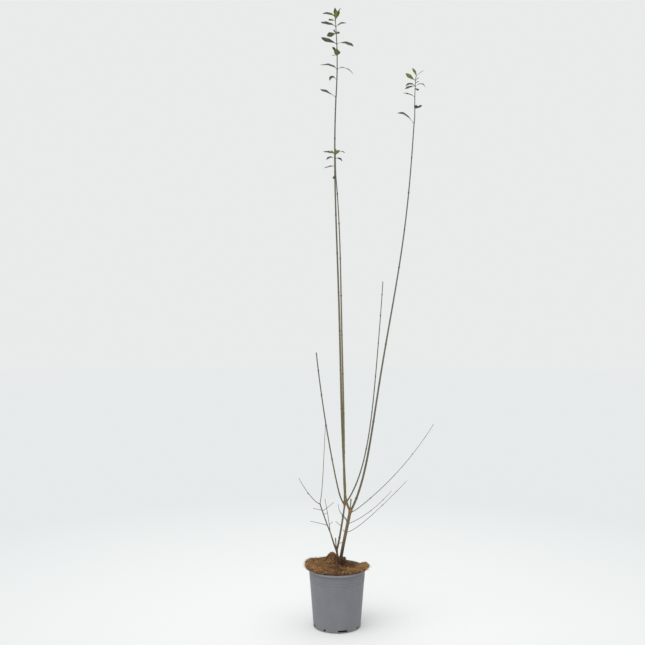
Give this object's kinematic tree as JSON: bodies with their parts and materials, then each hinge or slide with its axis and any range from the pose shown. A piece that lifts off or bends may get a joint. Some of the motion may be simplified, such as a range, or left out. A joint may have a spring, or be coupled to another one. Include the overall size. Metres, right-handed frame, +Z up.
{
  "type": "potted privet shrub",
  "caption": "Young evergreen privet in a round grey nursery pot: tall, nearly bare canes from a low pruned fork, with small leafy tips and a coir disc on the compost.",
  "frame": {"origin": "middle of the pot's flat underside", "axes": "+Z up along the pot's axis, +X to the right of the side it is seen from, +Y to the back"},
  "size_m": [0.3773, 0.2454, 1.6973],
  "materials": {
    "pot_plastic": "moulded grey polypropylene, matt with a faint sheen",
    "compost": "dark moist fibrous compost",
    "coir": "felted coconut fibre",
    "old_bark": "smooth brown bark with pores and orange-brown pruning knots",
    "young_bark": "smooth grey-olive bark with pale pores and dark leaf joints",
    "twigs": "thin grey-brown bare twigs",
    "foliage": "leathery green privet leaves, glossy above and paler below"
  },
  "bodies": {
    "root": {"pot": "pot_plastic", "compost": "compost", "coir_mat": "coir", "trunk": "old_bark", "left_stem": "old_bark", "rear_bough": "old_bark", "fork_stub": "old_bark", "foot_stub": "old_bark", "low_left_bough": "young_bark", "tall_cane": "young_bark", "middle_cane": "young_bark", "right_cane": "young_bark", "left_cane": "young_bark", "inner_cane": "young_bark", "right_whip_high": "young_bark", "right_whip_middle": "young_bark", "right_whip_low": "young_bark", "crossing_twig": "young_bark", "rear_bough_spur_left": "young_bark", "rear_bough_spur_right": "young_bark", "trunk_spur_high": "young_bark", "trunk_spur_low": "young_bark", "tall_cane_leaves": "foliage", "middle_cane_leaves": "foliage", "right_cane_leaves": "foliage", "low_left_twigs": "twigs"}
  },
  "joints": []
}
